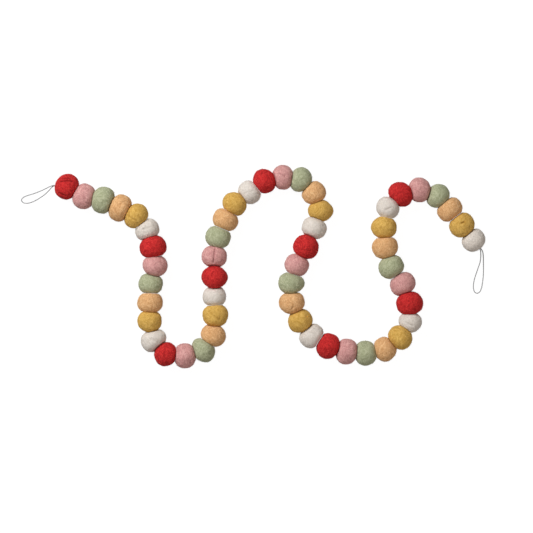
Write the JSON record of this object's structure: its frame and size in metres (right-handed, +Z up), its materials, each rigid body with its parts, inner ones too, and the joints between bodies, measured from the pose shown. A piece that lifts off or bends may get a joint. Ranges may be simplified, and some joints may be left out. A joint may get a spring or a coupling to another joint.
{
  "type": "felt ball garland",
  "caption": "Wool felt balls in a repeat of six soft colours, threaded tight on a thin cord with a hanging loop at each end, lying in a wave.",
  "frame": {"origin": "on the surface that the garland lies on, under the middle of the rectangle that its balls cover", "axes": "+Z up from the surface; +X from the first ball's end to the last ball's end, the longest way of the wave; +Y across the wave"},
  "size_m": [0.7442, 0.3247, 0.0416],
  "materials": {
    "red_felt": "matte wool felt, finely fibrous",
    "pink_felt": "matte wool felt, finely fibrous",
    "green_felt": "matte wool felt, finely fibrous",
    "peach_felt": "matte wool felt, finely fibrous",
    "yellow_felt": "matte wool felt, finely fibrous",
    "white_felt": "matte wool felt, finely fibrous",
    "stringing_cord": "matte twisted cotton"
  },
  "bodies": {
    "root": {"ball_01_red": "red_felt", "ball_02_pink": "pink_felt", "ball_03_green": "green_felt", "ball_04_peach": "peach_felt", "ball_05_yellow": "yellow_felt", "ball_06_white": "white_felt", "ball_07_red": "red_felt", "ball_08_pink": "pink_felt", "ball_09_green": "green_felt", "ball_10_peach": "peach_felt", "ball_11_yellow": "yellow_felt", "ball_12_white": "white_felt", "ball_13_red": "red_felt", "ball_14_pink": "pink_felt", "ball_15_green": "green_felt", "ball_16_peach": "peach_felt", "ball_17_yellow": "yellow_felt", "ball_18_white": "white_felt", "ball_19_red": "red_felt", "ball_20_pink": "pink_felt", "ball_21_green": "green_felt", "ball_22_peach": "peach_felt", "ball_23_yellow": "yellow_felt", "ball_24_white": "white_felt", "ball_25_red": "red_felt", "ball_26_pink": "pink_felt", "ball_27_green": "green_felt", "ball_28_peach": "peach_felt", "ball_29_yellow": "yellow_felt", "ball_30_white": "white_felt", "ball_31_red": "red_felt", "ball_32_pink": "pink_felt", "ball_33_green": "green_felt", "ball_34_peach": "peach_felt", "ball_35_yellow": "yellow_felt", "ball_36_white": "white_felt", "ball_37_red": "red_felt", "ball_38_pink": "pink_felt", "ball_39_green": "green_felt", "ball_40_peach": "peach_felt", "ball_41_yellow": "yellow_felt", "ball_42_white": "white_felt", "ball_43_red": "red_felt", "ball_44_pink": "pink_felt", "ball_45_green": "green_felt", "ball_46_peach": "peach_felt", "ball_47_yellow": "yellow_felt", "ball_48_white": "white_felt", "ball_49_red": "red_felt", "ball_50_pink": "pink_felt", "ball_51_green": "green_felt", "ball_52_peach": "peach_felt", "ball_53_yellow": "yellow_felt", "ball_54_white": "white_felt", "cord_loop_left": "stringing_cord", "cord_loop_right": "stringing_cord"}
  },
  "joints": []
}
